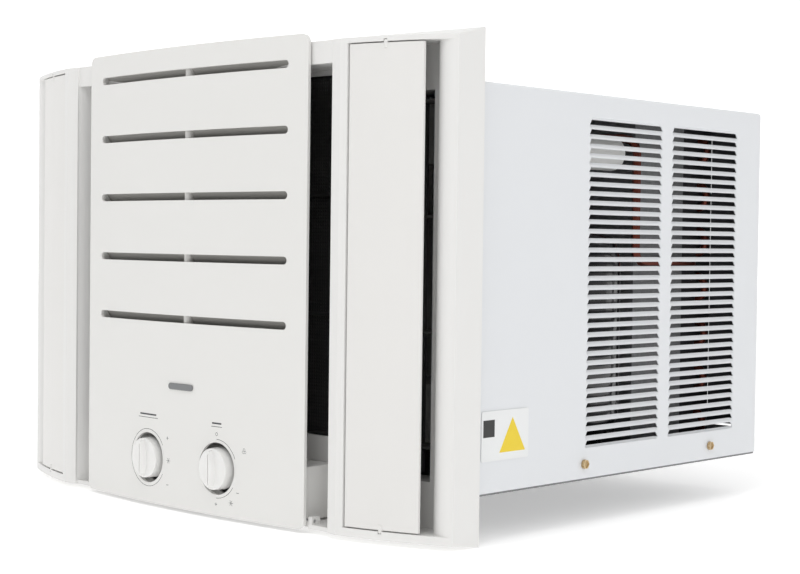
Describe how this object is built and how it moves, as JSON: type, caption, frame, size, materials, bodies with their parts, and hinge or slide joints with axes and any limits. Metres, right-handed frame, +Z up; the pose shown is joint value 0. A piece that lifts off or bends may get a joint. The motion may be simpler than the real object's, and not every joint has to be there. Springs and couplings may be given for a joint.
{
  "type": "window air conditioner",
  "caption": "Window air conditioner: bezel with side outlets and a tilting slotted panel, louvred steel cabinet, fans, coils and compressor inside.",
  "frame": {"origin": "on the base pan's underside, midway across, in the plane of the bezel's rear lip", "axes": "+X to the right seen from the front, +Y from the room towards the outdoors, +Z up; the front faces -Y"},
  "size_m": [0.562, 0.4856, 0.4],
  "materials": {
    "warm_white_plastic": "satin moulded plastic, fine grain",
    "panel_plastic": "satin moulded plastic with printed scales",
    "knob_plastic": "gloss moulded plastic",
    "vane_plastic": "satin moulded plastic",
    "badge_grey": "printed grey plate",
    "filter_black": "black net and frame",
    "switch_black": "black moulded housing",
    "cabinet_white_paint": "smooth white powder coat on steel sheet",
    "galvanised_sheet": "galvanised steel sheet",
    "turned_steel": "turned steel",
    "yellow_zinc": "yellow passivated zinc on steel",
    "label_white": "plain white film label",
    "foam_white": "expanded polystyrene",
    "guide_grey": "grey moulded plastic",
    "fan_black": "black moulded plastic",
    "motor_steel": "pressed steel shell",
    "coil_aluminium": "aluminium fins on copper tube",
    "copper": "drawn copper tube",
    "compressor_black": "gloss black enamel on steel",
    "grommet_rubber": "black rubber",
    "guard_grey": "grey coated steel",
    "capacitor_white": "white plastic can"
  },
  "bodies": {
    "chassis": {"front_bezel": "warm_white_plastic", "panel_hinge_pin_left": "turned_steel", "panel_hinge_pin_right": "turned_steel", "control_box": "warm_white_plastic", "thermostat": "switch_black", "mode_switch": "switch_black", "cabinet_shell": "cabinet_white_paint", "base_pan": "galvanised_sheet", "rear_guard": "guard_grey", "side_label": "label_white", "air_guide": "guide_grey", "blower_scroll": "foam_white", "bulkhead": "galvanised_sheet", "fan_motor": "motor_steel", "motor_bracket": "galvanised_sheet", "fan_shroud": "galvanised_sheet", "evaporator_coil": "coil_aluminium", "condenser_coil": "coil_aluminium", "compressor": "compressor_black", "accumulator": "compressor_black", "suction_tube": "copper", "accumulator_elbow": "copper", "discharge_tube": "copper", "filter_drier": "copper", "condenser_outlet_tube": "copper", "capillary_tube": "copper", "run_capacitor": "capacitor_white", "cabinet_screw_1": "yellow_zinc", "cabinet_screw_2": "yellow_zinc", "cabinet_screw_3": "yellow_zinc", "cabinet_screw_4": "yellow_zinc", "compressor_grommet_1": "grommet_rubber", "compressor_grommet_2": "grommet_rubber", "compressor_grommet_3": "grommet_rubber"},
    "grille_panel": {"front_panel": "panel_plastic", "panel_badge": "badge_grey"},
    "filter": {"filter_frame": "filter_black", "filter_mesh": "filter_black"},
    "temperature_knob": {"temperature_knob": "knob_plastic", "temperature_shaft": "turned_steel"},
    "mode_knob": {"mode_knob": "knob_plastic", "mode_shaft": "turned_steel"},
    "fan_rotor": {"fan_shaft": "turned_steel", "blower_wheel": "fan_black", "condenser_fan": "fan_black"},
    "left_vane": {"left_vane": "vane_plastic"},
    "left_blade_1": {"left_blade_1": "vane_plastic"},
    "left_blade_2": {"left_blade_2": "vane_plastic"},
    "left_blade_3": {"left_blade_3": "vane_plastic"},
    "left_blade_4": {"left_blade_4": "vane_plastic"},
    "left_link": {"left_blade_link": "guide_grey"},
    "right_vane": {"right_vane": "vane_plastic"},
    "right_blade_1": {"right_blade_1": "vane_plastic"},
    "right_blade_2": {"right_blade_2": "vane_plastic"},
    "right_blade_3": {"right_blade_3": "vane_plastic"},
    "right_blade_4": {"right_blade_4": "vane_plastic"},
    "right_link": {"right_blade_link": "guide_grey"}
  },
  "joints": [
    {"name": "panel_tilt", "type": "hinge", "parent": "chassis", "child": "grille_panel", "pos_m": [0, -0.052, -0.02725], "axis": [1, 0, 0], "range_deg": [0, 25]},
    {"name": "filter_slide", "type": "slide", "parent": "chassis", "child": "filter", "axis": [0, 0, 1], "range_m": [0, 0.3]},
    {"name": "temperature_turn", "type": "hinge", "parent": "chassis", "child": "temperature_knob", "pos_m": [-0.047, -0.07, 0.0054], "axis": [0, 1, 0], "range_deg": [-225, 45]},
    {"name": "mode_turn", "type": "hinge", "parent": "chassis", "child": "mode_knob", "pos_m": [0.047, -0.07, 0.0054], "axis": [0, 1, 0], "range_deg": [0, 180]},
    {"name": "fan_spin", "type": "hinge", "parent": "chassis", "child": "fan_rotor", "pos_m": [0, 0.189, 0.1615], "axis": [0, 1, 0], "continuous": true},
    {"name": "left_vane_turn", "type": "hinge", "parent": "chassis", "child": "left_vane", "pos_m": [-0.22275, -0.04896, 0.16262], "axis": [0, 0, -1], "range_deg": [0, 80]},
    {"name": "left_blade_1_turn", "type": "hinge", "parent": "chassis", "child": "left_blade_1", "pos_m": [-0.21525, 0.002, 0.036], "axis": [1, 0, 0], "range_deg": [-30, 30]},
    {"name": "left_blade_2_turn", "type": "hinge", "parent": "chassis", "child": "left_blade_2", "pos_m": [-0.21525, 0.002, 0.1269], "axis": [1, 0, 0], "range_deg": [-30, 30]},
    {"name": "left_blade_3_turn", "type": "hinge", "parent": "chassis", "child": "left_blade_3", "pos_m": [-0.21525, 0.002, 0.2178], "axis": [1, 0, 0], "range_deg": [-30, 30]},
    {"name": "left_blade_4_turn", "type": "hinge", "parent": "chassis", "child": "left_blade_4", "pos_m": [-0.21525, 0.002, 0.3087], "axis": [1, 0, 0], "range_deg": [-30, 30]},
    {"name": "left_link_turn", "type": "hinge", "parent": "left_blade_1", "child": "left_link", "pos_m": [-0.2045, 0.009, 0.036], "axis": [1, 0, 0], "range_deg": [-30, 30]},
    {"name": "right_vane_turn", "type": "hinge", "parent": "chassis", "child": "right_vane", "pos_m": [0.22275, -0.04896, 0.16262], "axis": [0, 0, 1], "range_deg": [0, 80]},
    {"name": "right_blade_1_turn", "type": "hinge", "parent": "chassis", "child": "right_blade_1", "pos_m": [0.21525, 0.002, 0.036], "axis": [1, 0, 0], "range_deg": [-30, 30]},
    {"name": "right_blade_2_turn", "type": "hinge", "parent": "chassis", "child": "right_blade_2", "pos_m": [0.21525, 0.002, 0.1269], "axis": [1, 0, 0], "range_deg": [-30, 30]},
    {"name": "right_blade_3_turn", "type": "hinge", "parent": "chassis", "child": "right_blade_3", "pos_m": [0.21525, 0.002, 0.2178], "axis": [1, 0, 0], "range_deg": [-30, 30]},
    {"name": "right_blade_4_turn", "type": "hinge", "parent": "chassis", "child": "right_blade_4", "pos_m": [0.21525, 0.002, 0.3087], "axis": [1, 0, 0], "range_deg": [-30, 30]},
    {"name": "right_link_turn", "type": "hinge", "parent": "right_blade_1", "child": "right_link", "pos_m": [0.2045, 0.009, 0.036], "axis": [1, 0, 0], "range_deg": [-30, 30]}
  ],
  "couplings": [
    {"joint": "left_blade_2_turn", "follows": "left_blade_1_turn", "ratio": 1},
    {"joint": "left_blade_3_turn", "follows": "left_blade_1_turn", "ratio": 1},
    {"joint": "left_blade_4_turn", "follows": "left_blade_1_turn", "ratio": 1},
    {"joint": "left_link_turn", "follows": "left_blade_1_turn", "ratio": -1},
    {"joint": "right_blade_2_turn", "follows": "right_blade_1_turn", "ratio": 1},
    {"joint": "right_blade_3_turn", "follows": "right_blade_1_turn", "ratio": 1},
    {"joint": "right_blade_4_turn", "follows": "right_blade_1_turn", "ratio": 1},
    {"joint": "right_link_turn", "follows": "right_blade_1_turn", "ratio": -1}
  ]
}
